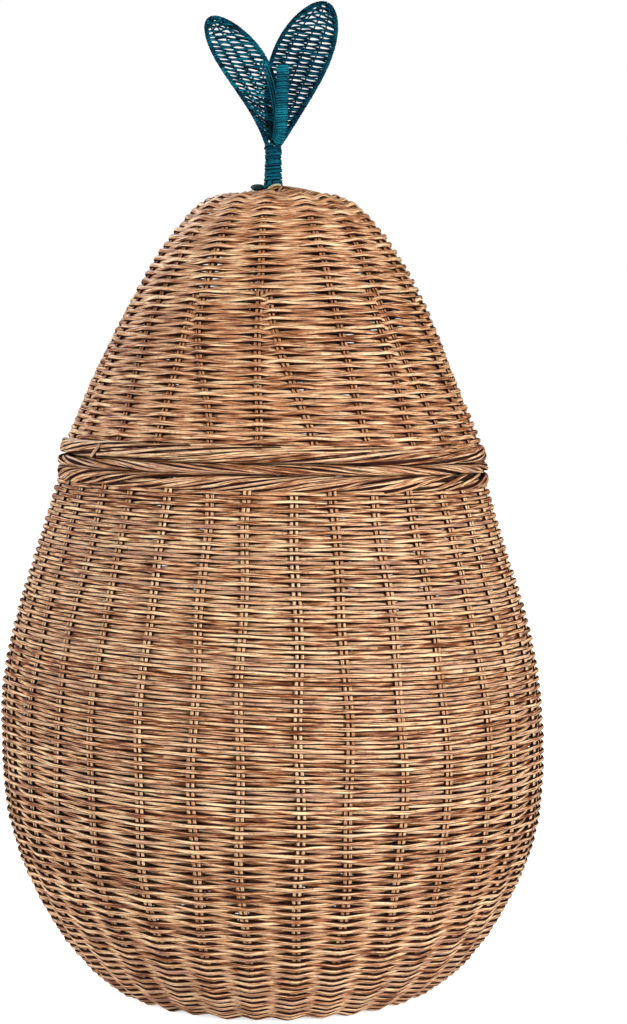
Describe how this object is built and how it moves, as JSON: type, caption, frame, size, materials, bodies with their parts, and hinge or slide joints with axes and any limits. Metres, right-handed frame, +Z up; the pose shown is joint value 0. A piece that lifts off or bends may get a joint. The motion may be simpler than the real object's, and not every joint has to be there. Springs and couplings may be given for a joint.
{
  "type": "rattan storage basket",
  "caption": "Pear-shaped woven rattan basket with a domed lift-off lid, a cane-bound stem and woven leaves in teal.",
  "frame": {"origin": "centre of the underside, on the surface that the basket stands on", "axes": "+Z up along the basket's axis, -Y towards the front that the picture shows"},
  "size_m": [0.3616, 0.3612, 0.6538],
  "materials": {
    "rattan": "natural round cane, satin",
    "rattan_stake": "natural round cane, satin",
    "teal": "cane painted teal, satin",
    "teal_dark": "cane painted teal, satin",
    "moss_green": "cane stained dark green",
    "pale_green": "cane stained pale green"
  },
  "bodies": {
    "base": {"base_weave": "rattan", "base_floor": "rattan", "base_stakes": "rattan_stake", "base_border": "rattan"},
    "lid": {"lid_weave": "rattan", "lid_stakes": "rattan_stake", "lid_border_lower": "rattan", "lid_border_upper": "rattan", "lid_collar": "rattan_stake", "stem_core": "teal_dark", "stem_foot_wrap": "teal", "stem_binding": "teal", "crown_tie_loop": "moss_green", "crown_tie_strand": "pale_green", "stalk_core": "teal_dark", "stalk_binding": "teal", "leaf_left_frame": "teal", "leaf_left_rib_1": "teal_dark", "leaf_left_rib_2": "teal_dark", "leaf_left_rib_3": "teal_dark", "leaf_left_weave": "teal", "leaf_right_frame": "teal", "leaf_right_rib_1": "teal_dark", "leaf_right_rib_2": "teal_dark", "leaf_right_rib_3": "teal_dark", "leaf_right_weave": "teal"}
  },
  "joints": [
    {"name": "lid_lift", "type": "slide", "parent": "base", "child": "lid", "axis": [0, 0, 1], "range_m": [0, 0.3]}
  ]
}
